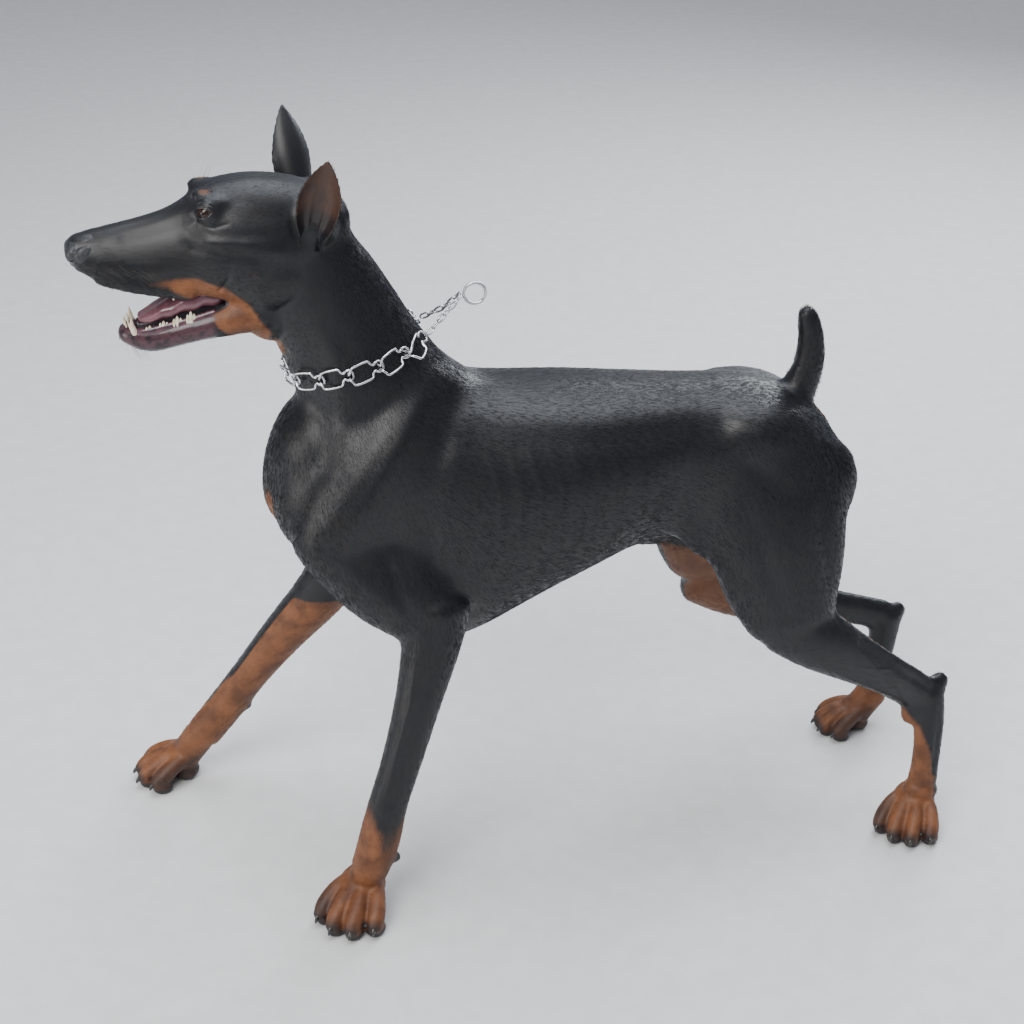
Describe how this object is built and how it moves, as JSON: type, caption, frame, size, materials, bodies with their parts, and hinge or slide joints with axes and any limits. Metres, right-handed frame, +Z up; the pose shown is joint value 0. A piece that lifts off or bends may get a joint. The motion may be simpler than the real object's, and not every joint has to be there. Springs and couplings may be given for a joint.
{
  "type": "museum model of a dog",
  "caption": "Life-size still model of a male Doberman pinscher, braced and barking, with cropped ears, docked tail and a steel pinch collar.",
  "frame": {"origin": "centre of the bounding box's footprint, on the floor under the belly, at paw-sole level", "axes": "+X towards the tail, the head points along -X; -Y is the dog's left side, which the picture shows; +Z up"},
  "size_m": [1.0632, 0.4282, 0.9383],
  "materials": {
    "black_coat": "short glossy hair",
    "rust_coat": "short satin hair",
    "nose_leather": "moist, fine-grained",
    "tongue": "moist",
    "eye": "wet gloss",
    "collar_steel": "polished"
  },
  "bodies": {
    "root": {"head": "black_coat", "lower_jaw": "rust_coat", "nose": "nose_leather", "neck": "black_coat", "torso": "black_coat", "tail": "black_coat", "foreleg_left": "black_coat", "foreleg_right": "black_coat", "forepaw_left": "rust_coat", "forepaw_right": "rust_coat", "thigh_left": "black_coat", "thigh_right": "black_coat", "shank_left": "black_coat", "shank_right": "black_coat", "rear_pastern_left": "rust_coat", "rear_pastern_right": "rust_coat", "hind_paw_left": "rust_coat", "hind_paw_right": "rust_coat", "tongue": "tongue", "ear_left": "black_coat", "ear_right": "black_coat", "eye_left": "eye", "eye_right": "eye", "collar_link_01": "collar_steel", "collar_link_02": "collar_steel", "collar_link_03": "collar_steel", "collar_link_04": "collar_steel", "collar_link_05": "collar_steel", "collar_link_06": "collar_steel", "collar_link_07": "collar_steel", "collar_link_08": "collar_steel", "collar_link_09": "collar_steel", "collar_link_10": "collar_steel", "collar_link_11": "collar_steel", "collar_link_12": "collar_steel", "chain_left": "collar_steel", "chain_right": "collar_steel", "collar_ring": "collar_steel"}
  },
  "joints": []
}
